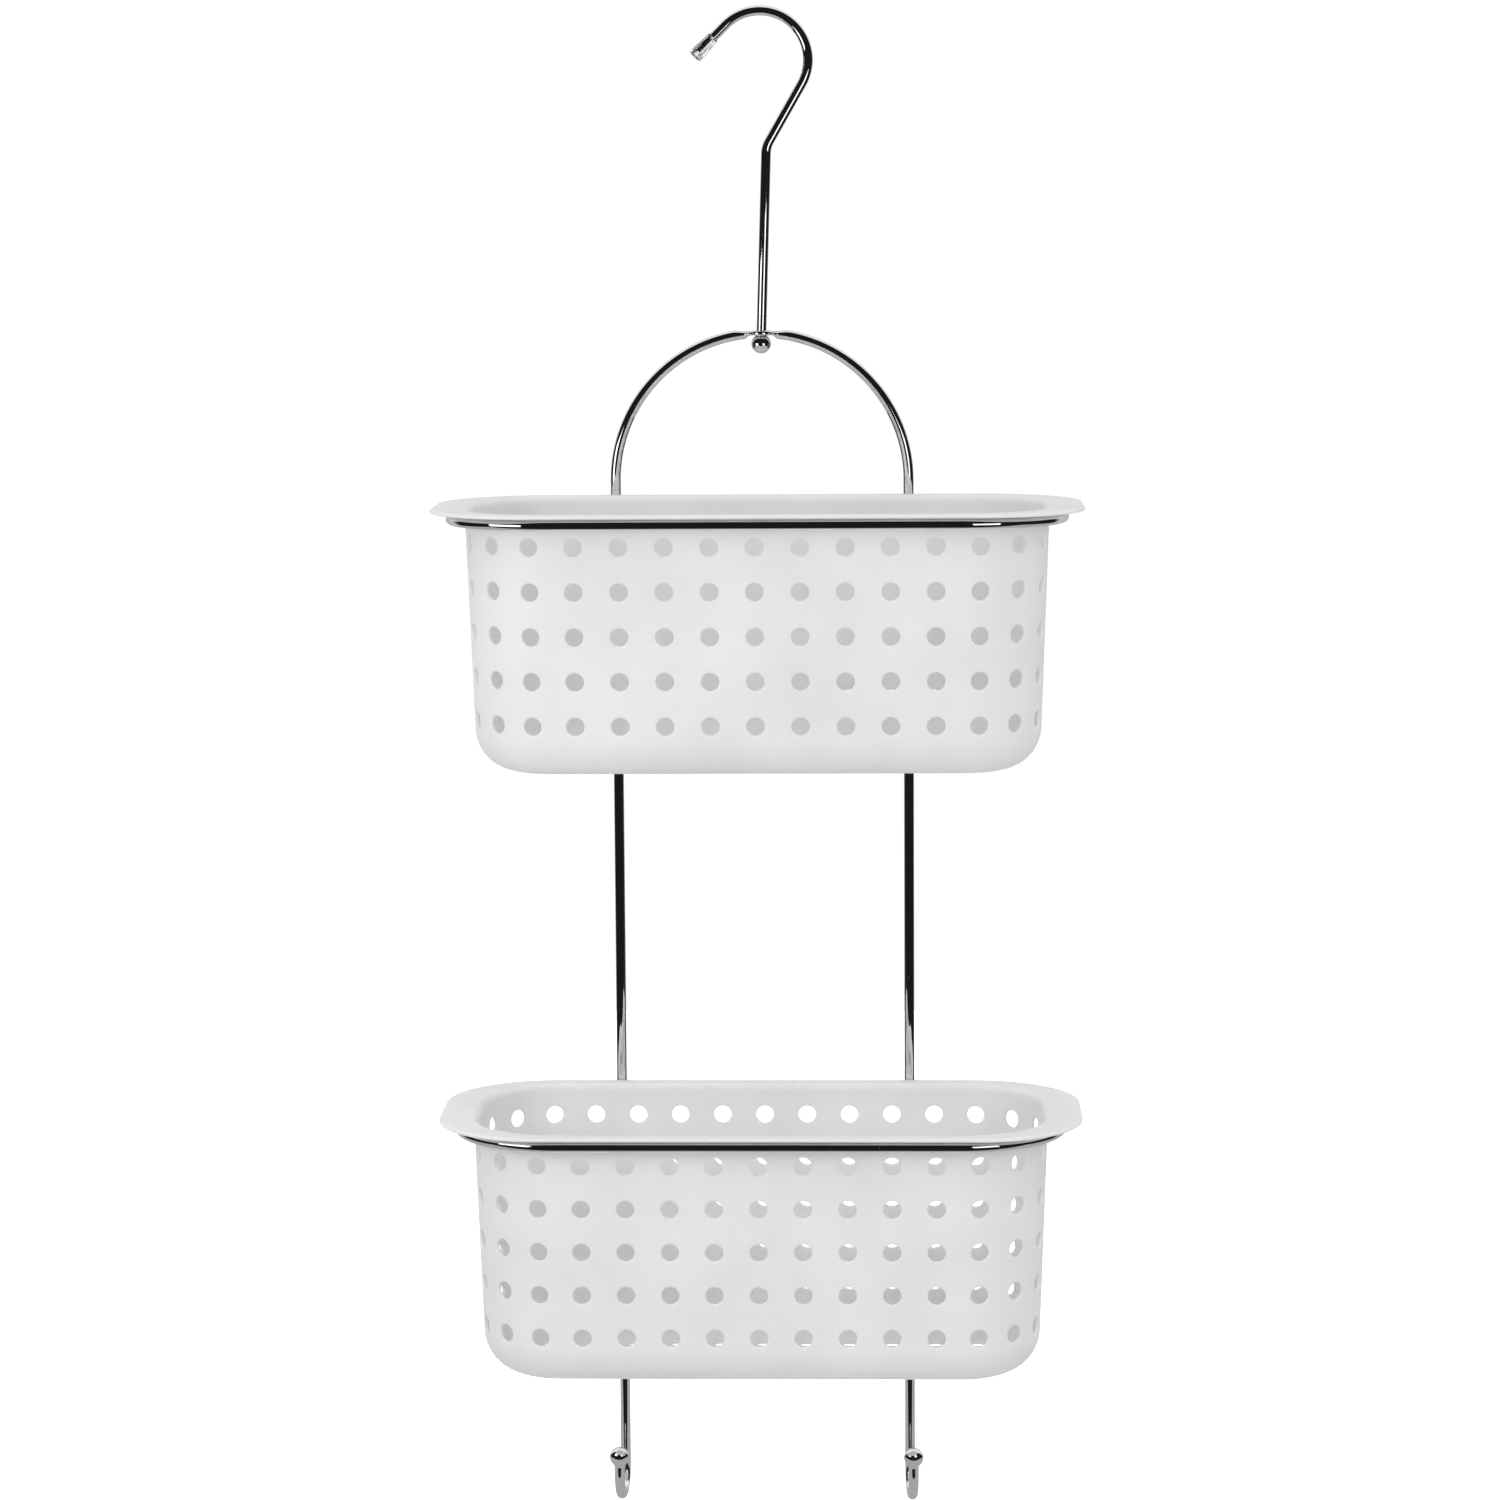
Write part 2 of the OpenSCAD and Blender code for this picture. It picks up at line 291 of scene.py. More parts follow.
def hook_path():
    """Centre line of the rail hook in the X-Z plane, from inside the ball to the tip."""
    lean = (math.sin(HOOK_LEAN), math.cos(HOOK_LEAN))
    neck = (math.sin(HOOK_NECK_ANGLE), math.cos(HOOK_NECK_ANGLE))
    foot = (0.0, -BALL_DEPTH)
    neck_top = (HOOK_R * neck[1], ARC_Z - HOOK_R * neck[0])
    rise = neck_top[1] - foot[1]
    turn = HOOK_NECK_ANGLE - HOOK_LEAN
    cut = HOOK_KINK_R * math.tan(turn / 2)
    stem = (rise * neck[0] - neck_top[0] * neck[1]) / math.sin(turn) - cut
    kink_start = (foot[0] + lean[0] * stem, foot[1] + lean[1] * stem)
    kink_centre = (kink_start[0] + lean[1] * HOOK_KINK_R, kink_start[1] - lean[0] * HOOK_KINK_R)
    points = [foot] + line_points(foot, kink_start, 30)
    points += arc_points(
        *kink_centre, HOOK_KINK_R, math.pi - HOOK_LEAN, math.pi - HOOK_NECK_ANGLE, 12)
    points += line_points(points[-1], neck_top, 10)
    tip_end = math.pi / 2 + HOOK_TIP_ANGLE
    points += arc_points(0.0, ARC_Z, HOOK_R, -HOOK_NECK_ANGLE, tip_end, 64)
    arc_end = points[-1]
    run = (-math.sin(HOOK_TIP_ANGLE), -math.cos(HOOK_TIP_ANGLE))
    tip = (arc_end[0] + run[0] * HOOK_TIP_RUN, arc_end[1] + run[1] * HOOK_TIP_RUN)
    points += line_points(arc_end, tip, 8)
    return [(x, 0.0, z) for x, z in points], arc_end


def make_tip_cap(arc_end, vinyl):
    """Clear cap over the hook's open end, with shallow flutes along its outside."""
    bore = HOOK_WIRE_R + CAP_GAP
    grip = CAP_LENGTH - CAP_SOLID
    profile = [(0, grip), (bore * 0.9, grip), (bore, grip - 0.2 * MM)]
    profile += [(bore, grip * (1 - i / 6)) for i in range(1, 6)]
    profile += [(bore, CAP_LIP), (bore + CAP_LIP, 0), (CAP_MOUTH_R - CAP_LIP, 0)]
    shoulder = CAP_LENGTH - CAP_ROUND_R
    for i in range(13):
        share = i / 12
        swell = math.sin(share * math.pi / 2) ** 1.2
        height = 0.12 * MM + share * (shoulder - 0.12 * MM)
        profile.append((CAP_MOUTH_R + (CAP_END_R - CAP_MOUTH_R) * swell, height))
    for i in range(1, 7):
        a = math.radians(15 * i)
        crown = CAP_END_R - CAP_ROUND_R + CAP_ROUND_R * math.cos(a)
        profile.append((crown, shoulder + CAP_ROUND_R * 0.9 * math.sin(a)))
    profile.append((0, CAP_LENGTH))
    along = Matrix.Rotation(HOOK_TIP_ANGLE - math.pi, 4, "Y")
    run = Vector((-math.sin(HOOK_TIP_ANGLE), 0, -math.cos(HOOK_TIP_ANGLE)))
    mouth = Vector((arc_end[0], 0, arc_end[1])) + run * (HOOK_TIP_RUN - grip)
    place = Matrix.Translation(mouth) @ along
    mesh = revolve_mesh(
        "clear_tip_cap", profile, CAP_SIDES, place, CAP_FLUTE_DEPTH, CAP_FLUTES, bore + CAP_LIP)
    new_piece("clear_tip_cap", mesh, "hanger", vinyl, "clear_cap", "hook_tip_cap")


def make_formed_ball(chrome):
    """Formed end of the stem's wire: round, a little flatter below, with a short collar."""
    profile = [(0, -BALL_R * BALL_FLAT)]
    for i in range(1, 24):
        a = math.radians(-90 + 180 * i / 24)
        r = BALL_R * math.cos(a)
        if r > HOOK_WIRE_R * 1.02 or a < 0:
            profile.append((r, BALL_R * math.sin(a) * (BALL_FLAT if a < 0 else 1)))
    profile.append((HOOK_WIRE_R * 1.005, BALL_R * 0.93))
    place = Matrix.Translation((0, 0, -BALL_DEPTH)) @ Matrix.Rotation(HOOK_LEAN, 4, "Y")
    mesh = revolve_mesh("formed_ball", profile, BALL_SIDES, place)
    new_piece("formed_ball", mesh, "hanger", chrome, "chrome_wire", "swivel_ball")


def make_rail_hook(chrome, vinyl):
    path, arc_end = hook_path()
    mesh = wire_mesh("rail_hook_wire", path, HOOK_WIRE_R, (0, 1, 0))
    new_piece("rail_hook_wire", mesh, "hanger", chrome, "chrome_wire", "hook_wire")
    make_tip_cap(arc_end, vinyl)
    make_formed_ball(chrome)


def frame_path():
    """Centre line of the bent frame wire's right half, from the apex down and round to its ball."""
    half = []
    for i in range(81):
        a = math.pi / 2 * (1 - i / 80)
        half.append((ARCH_R * math.cos(a), 0.0, ARCH_Z + ARCH_R * math.sin(a)))
    for i in range(1, 61):
        half.append((ARCH_R, 0.0, ARCH_Z + (-BEND_DEPTH - ARCH_Z) * i / 60))
    for i in range(1, 37):
        a = math.pi * i / 36
        share = (1 - math.cos(a)) / 2
        half.append((ARCH_R + TOE_X * share, -TOE_Y * share, -BEND_DEPTH - BEND_R * math.sin(a)))
    top = END_BALL_RISE - END_BALL_R + 1.5 * MM
    for i in range(1, 6):
        half.append((ARCH_R + TOE_X, -TOE_Y, -BEND_DEPTH + top * i / 5))
    return half


def flattened(top_share, low_share, sides, up):
    """Outline of the frame wire where it is pressed towards the eyelet. A share of 0 is round;
    up is 1 where the outline's second axis points up, else -1."""
    thin = EYELET_T / 2 - FRAME_WIRE_R
    high = FRAME_WIRE_R + thin * top_share
    low = FRAME_WIRE_R + thin * low_share
    half_wide = FRAME_WIRE_R + PRESSED_SPREAD * low_share
    power = 1 - 0.35 * low_share
    outline = []
    for k in range(sides):
        a = 2 * math.pi * k / sides
        c = math.copysign(abs(math.cos(a)) ** power, math.cos(a))
        s = math.copysign(abs(math.sin(a)) ** power, math.sin(a))
        outline.append((half_wide * c, (high if s * up > 0 else low) * s))
    return np.array(outline)


def ease(value, start, end):
    """0 at start, 1 at end, with a soft beginning and a soft end."""
    share = min(max((start - value) / (start - end), 0.0), 1.0)
    return share * share * (3 - 2 * share)


def make_half_frame(name, sign, chrome):
    """One half of the frame's wire: half the arch, a leg and its utility hook."""
    path = []
    for i in range(FINE_STEPS):
        a = math.pi / 2 - (WIRE_STARTS + FINE_STEP * i) / ARCH_R
        path.append((sign * ARCH_R * math.cos(a), 0.0, ARCH_Z + ARCH_R * math.sin(a)))
    path += [(sign * x, y, z) for x, y, z in frame_path() if x > FINE_ENDS]
    outlines = []
    for x, _, z in path:
        reach = abs(x) if z > ARCH_Z else ARCH_R
        top_share = ease(reach, TOP_PRESSED_FROM, FULLY_PRESSED)
        low_share = ease(reach, FOOT_PRESSED_FROM, FULLY_PRESSED)
        outlines.append(flattened(top_share, low_share, WIRE_SIDES, sign))
    wire = name + "_frame_wire"
    mesh = wire_mesh(wire, path, FRAME_WIRE_R, (0, 1, 0), sections=lambda i: outlines[i])
    nodes = (name + "_leg", name + "_utility_hook")
    new_piece(wire, mesh, "frame", chrome, "chrome_wire", *nodes)


def make_eyelet(chrome):
    """Pressed eyelet at the apex: a flat eye with rounded edges and a countersunk underside."""
    edge = EYELET_EDGE
    top = EYELET_T / 2
    inner = EYE_HOLE_R
    outer = EYELET_R
    profile = [
        (inner, -top + 0.9 * edge), (inner, top - edge), (inner + 0.3 * edge, top - 0.3 * edge),
        (inner + edge, top), (outer - edge, top), (outer - 0.3 * edge, top - 0.3 * edge),
        (outer, top - edge), (outer, -top + edge), (outer - 0.3 * edge, -top + 0.3 * edge),
        (outer - edge, -top), (inner + edge, -top), (inner, -top + 0.9 * edge),
    ]
    place = Matrix.Translation((0, 0, EYE_TOP - top))
    mesh = revolve_mesh("swivel_eyelet", profile[::-1], BALL_SIDES, place)
    new_piece("swivel_eyelet", mesh, "frame", chrome, "chrome_wire", "frame_arch")


def make_end_ball(name, sign, chrome):
    """Ball on the end of a utility hook, with a short neck below."""
    profile = [(FRAME_WIRE_R * 1.01, -END_BALL_R * 1.06)]
    for i in range(1, 24):
        a = math.radians(-90 + 180 * i / 24)
        r = END_BALL_R * math.cos(a)
        if r > FRAME_WIRE_R * 1.05 or a > 0:
            profile.append((r, END_BALL_R * math.sin(a)))
    profile.append((0, END_BALL_R))
    place = Matrix.Translation((sign * (ARCH_R + TOE_X), -TOE_Y, END_BALL_RISE - BEND_DEPTH))
    mesh = revolve_mesh(name + "_end_ball", profile, BALL_SIDES, place)
    new_piece(name + "_end_ball", mesh, "frame", chrome, "chrome_wire", name + "_hook_ball")


def make_frame_wire(chrome):
    sides = (("left", -1), ("right", 1))
    for name, sign in sides:
        make_half_frame(name, sign, chrome)
    make_eyelet(chrome)
    for name, sign in sides:
        make_end_ball(name, sign, chrome)


def girth_spot(s):
    """Spine point and outward direction at a distance along the wall from the front's middle."""
    side = -1 if s < 0 else 1
    a = abs(s)
    if a <= SPINE_X:
        x, y, turn = a, -SPINE_Y, -90.0
    elif a <= SPINE_X + CORNER_ARC:
        x, y, turn = SPINE_X, -SPINE_Y, 90 * (a - SPINE_X) / CORNER_ARC - 90
    elif a <= HALF_GIRTH - SPINE_X - CORNER_ARC:
        x, y, turn = SPINE_X, a - HALF_GIRTH / 2, 0.0
    elif a <= HALF_GIRTH - SPINE_X:
        x, y, turn = SPINE_X, SPINE_Y, 90 - 90 * (HALF_GIRTH - SPINE_X - a) / CORNER_ARC
    else:
        x, y, turn = HALF_GIRTH - a, SPINE_Y, 90.0
    turn = math.radians(turn)
    return side * x, y, side * math.cos(turn), math.sin(turn)


def spot_girth(x, y):
    """Distance along the wall for a point outside the spine, the reverse of girth_spot."""
    side = -1 if x < 0 else 1
    a = abs(x)
    if a <= SPINE_X:
        along = a if y < 0 else HALF_GIRTH - a
    elif abs(y) <= SPINE_Y:
        along = HALF_GIRTH / 2 + y
    else:
        turn = math.degrees(math.atan2(abs(y) - SPINE_Y, a - SPINE_X))
        if y < 0:
            along = SPINE_X + CORNER_ARC * (90 - turn) / 90
        else:
            along = HALF_GIRTH - SPINE_X - CORNER_ARC * (90 - turn) / 90
    return side * along


def wrap_girth(s):
    """The same spot on the wall, as a distance within half a turn of the front's middle."""
    return (s + HALF_GIRTH) % (2 * HALF_GIRTH) - HALF_GIRTH


def make_ring(name, depth, chrome):
    """Closed loop of wire with a butt weld at the middle of its back, and four weld beads."""
    path = []
    for i in range(RING_STEPS):
        s = (i / RING_STEPS - 0.5) * 2 * HALF_GIRTH
        x, y, nx, ny = girth_spot(s)
        r = CORNER_R + RING_GAP
        path.append((x + nx * r, RING_Y + y + ny * r, depth))
    outline = circle_outline(1.0, WIRE_SIDES)

    def sections(i):
        away = min(i, RING_STEPS - i) / 3
        return outline * (FRAME_WIRE_R + BUTT_SWELL * math.exp(-away * away))

    mesh = wire_mesh(name + "_wire", path, FRAME_WIRE_R, (0, 0, 1), True, sections)
    new_piece(name + "_wire", mesh, "frame", chrome, "chrome_wire", name)
    back = RING_Y + SPINE_Y + CORNER_R + RING_GAP
    for side_name, sign in (("left", -1), ("right", 1)):
        for level, offset in (("top", 1), ("foot", -1)):
            profile = [(0, -1.0)]
            for k in range(1, 12):
                a = math.radians(-90 + 15 * k)
                wobble = 1 + 0.08 * math.sin(5 * k + sign + offset)
                profile.append((math.cos(a) * wobble, math.sin(a)))
            profile.append((0, 1.0))
            scale = Matrix.Diagonal((*BEAD_SIZE, 1.0))
            spot = (sign * ARCH_R, back / 2, depth + offset * BEAD_RISE)
            bead = f"{name}_{side_name}_{level}_weld"
            mesh = revolve_mesh(bead, profile, BEAD_SIDES, Matrix.Translation(spot) @ scale)
            new_piece(bead, mesh, "frame", chrome, "chrome_wire")


# ---------------------------------------------------------------- baskets

def wall_level(t, inside):
    """Distance from the spine and height for a level t: t is the height, and runs on round the
    bottom's radius below the wall."""
    if t >= MEET_Z:
        return CORNER_R + t * SLOPE - (WALL_T if inside else 0), t
    turn = DRAFT + (MEET_Z - t) / BOTTOM_R
    turn = min(turn, math.pi / 2)
    r = BOTTOM_R - SKIN if inside else BOTTOM_R
    return ROUND_IN_R + r * math.cos(turn), ROUND_Z - r * math.sin(turn)


def off_spine(x, y):
    return math.hypot(max(abs(x) - SPINE_X, 0), max(abs(y) - SPINE_Y, 0))


class BasketMesh:
    """Builds one basket round (0, 0, 0) at ring level: two skins, the rim and the holes."""

    SEGMENTS = 8                # along one side of a hole's cell
    AROUND = 4 * SEGMENTS       # points round a hole
    BLEND = (0.14, 0.4, 0.7)    # rings between a hole and the edge of its cell

    # A hole's rounded edge: how far each ring is out from the bore and sunk below the skin
    ROUNDING = ((1, 0), (0.5, 0.13), (0.15, 0.5), (0, 1))

    def __init__(self):
        self.verts = []
        self.faces = []
        self.grid = {}
        self.loop_count = COLUMNS * self.SEGMENTS

    def add(self, x, y, z):
        self.verts.append((x, y, z))
        return len(self.verts) - 1

    def quad(self, inside, *corners):
        self.faces.append(corners[::-1] if inside else corners)

    def on_wall(self, s, t, inside):
        x, y, nx, ny = girth_spot(s)
        r, z = wall_level(t, inside)
        return x + nx * r, y + ny * r, z

    def girth_at(self, i):
        s = (i / self.SEGMENTS - 0.5) * PITCH
        return s - 2 * HALF_GIRTH if s > HALF_GIRTH else s

    def level_at(self, j):
        return HOLE_TOP + PITCH / 2 - j * PITCH / self.SEGMENTS

    def grid_vert(self, i, j, inside):
        key = (i % self.loop_count, j, inside)
        if key not in self.grid:
            s = self.girth_at(key[0])
            self.grid[key] = self.add(*self.on_wall(s, self.level_at(j), inside))
        return self.grid[key]

    def hole_point(self, s, z, across, rise, inside, sink):
        """A point round a hole, at an offset from the hole's axis and a depth below the skin."""
        x, y, nx, ny = girth_spot(s)
        x -= ny * across
        y += nx * across
        target, height = wall_level(z + rise, inside)
        r = target
        for _ in range(12):
            r += target - off_spine(x + nx * r, y + ny * r)
        r += sink if inside else -sink
        return x + nx * r, y + ny * r, height

    def square_spot(self, k):
        """Grid steps from a cell's middle to the k-th point round its edge."""
        half = self.SEGMENTS // 2
        side, step = divmod((k + half) % self.AROUND, self.SEGMENTS)
        step -= half
        return [(half, step), (-step, half), (-half, -step), (step, -half)][side]

    def hole_cell(self, column, row, inside):
        """Skin between one cell's edge and its hole. Returns the last ring, inside the bore."""
        n = self.AROUND
        half = self.SEGMENTS // 2
        s0 = column * PITCH
        if s0 > HALF_GIRTH:
            s0 -= 2 * HALF_GIRTH
        z0 = HOLE_TOP - row * PITCH
        middle_i = column * self.SEGMENTS + half
        middle_j = row * self.SEGMENTS + half
        edge = []
        edge_param = []
        rim_param = []
        rings = [[] for _ in self.ROUNDING]
        for k in range(n):
            di, dj = self.square_spot(k)
            edge.append(self.grid_vert(middle_i + di, middle_j - dj, inside))
            ds = di * PITCH / self.SEGMENTS
            dz = dj * PITCH / self.SEGMENTS
            edge_param.append((ds, dz))
            a = 2 * math.pi * k / n
            for ring, (out, sink) in enumerate(self.ROUNDING):
                r = HOLE_R + HOLE_ROUND * out
                p = self.hole_point(
                    s0, z0, r * math.cos(a), r * math.sin(a), inside, HOLE_ROUND * sink)
                rings[ring].append(self.add(*p))
                if ring == 0:
                    along = wrap_girth(spot_girth(p[0], p[1]) - s0)
                    rim_param.append((along, p[2] - z0))
        loops = [edge]
        for w in self.BLEND[::-1]:
            loop = []
            for k in range(n):
                ds = rim_param[k][0] + (edge_param[k][0] - rim_param[k][0]) * w
                dz = rim_param[k][1] + (edge_param[k][1] - rim_param[k][1]) * w
                s = wrap_girth(s0 + ds)
                loop.append(self.add(*self.on_wall(s, z0 + dz, inside)))
            loops.append(loop)
        loops += rings
        for a, b in zip(loops, loops[1:]):
            self.join(a, b, inside)
        return rings[-1]

    def join(self, a, b, inside=False):
        count = len(a)
        for k in range(count):
            m = (k + 1) % count
            self.quad(inside, a[k], a[m], b[m], b[k])

    def wall_loop(self, t, inside):
        found = []
        for i in range(self.loop_count):
            found.append(self.add(*self.on_wall(self.girth_at(i), t, inside)))
        return found

    def offset_loop(self, r, z):
        found = []
        for i in range(self.loop_count):
            x, y, nx, ny = girth_spot(self.girth_at(i))
            found.append(self.add(x + nx * r, y + ny * r, z))
        return found

    def rim_loop(self, share, out, z):
        """Loop over the rim: share 0 is the top of the turn and 1 the rim's edge."""
        rim_x = RIM_HALF_W - RIM_CORNER_R
        rim_y = (RIM_BACK - RIM_FRONT) / 2 - RIM_CORNER_R
        mid = (RIM_BACK + RIM_FRONT) / 2
        found = []
        for i in range(self.loop_count):
            x, y, nx, ny = girth_spot(self.girth_at(i))
            near = (x + nx * TURN_IN_R, y + ny * TURN_IN_R)
            r = RIM_CORNER_R - WALL_T / 2 + out
            far = (x * rim_x / SPINE_X + nx * r, mid + y * rim_y / SPINE_Y + ny * r)
            px = near[0] + (far[0] - near[0]) * share
            py = near[1] + (far[1] - near[1]) * share
            found.append(self.add(px, py, z))
        return found

    def walls(self):
        for column in range(COLUMNS):
            for row in range(ROWS):
                outer = self.hole_cell(column, row, False)
                inner = self.hole_cell(column, row, True)
                self.join(outer, inner)

    def rim(self):
        """From the outer wall's top edge, out under the rim, round its edge and back inside."""
        first = [self.grid_vert(i, 0, False) for i in range(self.loop_count)]
        last = [self.grid_vert(i, 0, True) for i in range(self.loop_count)]
        loops = [first, self.wall_loop(0.6 * MM, False)]
        for k in range(6):
            a = math.radians(180 - 18 * k)
            loops.append(self.offset_loop(
                TURN_IN_R + TURN_R * math.cos(a), TURN_Z + TURN_R * math.sin(a)))
        shares = (0.15, 0.4, 0.7, 0.9)
        loops += [self.rim_loop(w, 0, RIM_Z) for w in shares]
        bead = WALL_T / 2
        for k in range(9):
            a = math.radians(-90 + 22.5 * k)
            loops.append(self.rim_loop(1, bead * math.cos(a), RIM_Z + bead + bead * math.sin(a)))
        loops += [self.rim_loop(w, 0, RIM_Z + WALL_T) for w in shares[::-1]]
        crest = TURN_R + WALL_T
        for k in range(8):
            a = math.radians(90 + 12.5 * k)
            loops.append(self.offset_loop(
                TURN_IN_R + crest * math.cos(a), TURN_Z + crest * math.sin(a)))
        loops += [self.wall_loop(0.6 * MM, True), last]
        for a, b in zip(loops, loops[1:]):
            self.join(b, a)

    def floor(self):
        bottoms = []
        for inside in (False, True):
            loops = [[self.grid_vert(i, ROWS * self.SEGMENTS, inside)
                      for i in range(self.loop_count)]]
            start = self.level_at(ROWS * self.SEGMENTS)
            end = MEET_Z - (math.pi / 2 - DRAFT) * BOTTOM_R
            for k in range(1, 8):
                loops.append(self.wall_loop(start + (end - start) * k / 7, inside))
            for a, b in zip(loops, loops[1:]):
                self.join(a, b, inside)
            bottoms.append(self.floor_skin(loops[-1], inside))
        for outer, inner in zip(*bottoms):
            self.join(outer, inner)

    def floor_skin(self, outline, inside):
        """Flat skin between the bottom's outline and its holes. Returns the bore rings."""
        z = self.verts[outline[0]][2]
        inward = -1 if inside else 1
        ids = list(outline)
        edges = [(k, (k + 1) % len(ids)) for k in range(len(ids))]
        centres = []
        bores = []
        n = 24
        in_hole = (HOLE_R + HOLE_ROUND) * math.cos(math.pi / n)
        for i in range(FLOOR_COLUMNS):
            for j in range(FLOOR_ROWS):
                cx = (i - (FLOOR_COLUMNS - 1) / 2) * PITCH
                cy = (j - (FLOOR_ROWS - 1) / 2) * PITCH
                centres.append((cx, cy))
                rings = []
                for out, sink in self.ROUNDING:
                    r = HOLE_R + HOLE_ROUND * out
                    ring = []
                    for k in range(n):
                        a = 2 * math.pi * k / n
                        ring.append(self.add(
                            cx + r * math.cos(a), cy + r * math.sin(a),
                            z + inward * HOLE_ROUND * sink))
                    rings.append(ring)
                first = len(ids)
                ids += rings[0]
                edges += [(first + k, first + (k + 1) % n) for k in range(n)]
                for a, b in zip(rings, rings[1:]):
                    self.join(b, a, not inside)
                bores.append(rings[-1][::-1])
        flat = [Vector(self.verts[v][:2]) for v in ids]
        _, _, triangles, origin, _, _ = delaunay_2d_cdt(flat, edges, [], 0, 1e-7)
        for triangle in triangles:
            source = [origin[v][0] for v in triangle]
            middle = sum((flat[v] for v in source), Vector((0, 0))) / 3
            if any((middle - Vector(c)).length < in_hole for c in centres):
                continue
            corners = [ids[v] for v in source]
            a, b, c = (flat[v] for v in source)
            upward = (b - a).cross(c - a) > 0
            self.faces.append(tuple(corners if upward == inside else corners[::-1]))
        return bores

    def build(self, name):
        self.walls()
        self.rim()
        self.floor()
        return new_mesh(name, self.verts, self.faces)


def make_baskets(plastic):
    mesh = BasketMesh().build("moulded_basket")
    for name, depth, body in (("upper", UPPER_Z, "upper_bin"), ("lower", LOWER_Z, "lower_bin")):
        own = mesh.copy()
        own.name = name + "_moulded_basket"
        own.transform(Matrix.Translation((0, RING_Y, depth)))
        new_piece(own.name, own, body, plastic, "frosted_plastic", name + "_basket")


# ---------------------------------------------------------------- materials

def new_material(name):
    material = bpy.data.materials.new(name)
    material.use_nodes = True
    nodes = material.node_tree.nodes
    return material, nodes, material.node_tree.links, nodes["Principled BSDF"]


def noise_node(nodes, links, coords, scale, detail, roughness=0.5):
    node = nodes.new("ShaderNodeTexNoise")
    node.inputs["Scale"].default_value = scale
    node.inputs["Detail"].default_value = detail
    node.inputs["Roughness"].default_value = roughness
    links.new(coords, node.inputs["Vector"])
    return node


def range_node(nodes, links, value, low, high, to_low, to_high):
    node = nodes.new("ShaderNodeMapRange")
    node.inputs["From Min"].default_value = low
    node.inputs["From Max"].default_value = high
    node.inputs["To Min"].default_value = to_low
    node.inputs["To Max"].default_value = to_high
    links.new(value, node.inputs["Value"])
    return node


def math_node(nodes, links, operation, *values):
    """Maths node whose inputs are sockets or plain numbers."""
    node = nodes.new("ShaderNodeMath")
    node.operation = operation
    for value, socket in zip(values, node.inputs):
        if isinstance(value, (int, float)):
            socket.default_value = value
        else:
            links.new(value, socket)
    return node.outputs["Value"]


def bump_node(nodes, links, height, strength, distance, normal=None):
    node = nodes.new("ShaderNodeBump")
    node.inputs["Strength"].default_value = strength
    node.inputs["Distance"].default_value = distance
    links.new(height, node.inputs["Height"])
    if normal is not None:
        links.new(normal, node.inputs["Normal"])
    return node


def ramp_node(nodes, links, value, stops):
    node = nodes.new("ShaderNodeValToRGB")
    ramp = node.color_ramp
    while len(ramp.elements) < len(stops):
        ramp.elements.new(0.5)
    for element, (at, colour) in zip(ramp.elements, stops):
        element.position = at
        element.color = (*colour, 1)
    links.new(value, node.inputs["Fac"])
    return node


def chrome_material():
    """Bright chrome plating on drawn wire: waviness, fine draw lines, and a few dull specks."""
    material, nodes, links, shader = new_material("chrome_plating")
    shader.inputs["Metallic"].default_value = 1.0
    coords = nodes.new("ShaderNodeTexCoord").outputs["Object"]
    waves = noise_node(nodes, links, coords, 90, 2)
    grain = noise_node(nodes, links, coords, 1500, 3, 0.6)
    specks = nodes.new("ShaderNodeTexVoronoi")
    specks.inputs["Scale"].default_value = 260
    specks.inputs["Randomness"].default_value = 1.0
    links.new(coords, specks.inputs["Vector"])
    speck = range_node(nodes, links, specks.outputs["Distance"], 0.05, 0.11, 1, 0)
    patchy = noise_node(nodes, links, coords, 34, 3)
    patch = range_node(nodes, links, patchy.outputs["Fac"], 0.56, 0.64, 0, 1)
    dull = math_node(nodes, links, "MULTIPLY", speck.outputs["Result"], patch.outputs["Result"])
    tone = ramp_node(nodes, links, waves.outputs["Fac"], (
        (0.3, (0.74, 0.755, 0.77)), (0.7, (0.83, 0.84, 0.85))))
    links.new(tone.outputs["Color"], shader.inputs["Base Color"])
    smooth = range_node(nodes, links, grain.outputs["Fac"], 0.3, 0.75, 0.035, 0.05)
    rough = math_node(nodes, links, "MULTIPLY_ADD", dull, 0.35, smooth.outputs["Result"])
    links.new(rough, shader.inputs["Roughness"])
    ripple = bump_node(nodes, links, waves.outputs["Fac"], 0.2, 0.03 * MM)
    pits = bump_node(nodes, links, dull, 0.5, 0.03 * MM, ripple.outputs["Normal"])
    links.new(pits.outputs["Normal"], shader.inputs["Normal"])
    return material


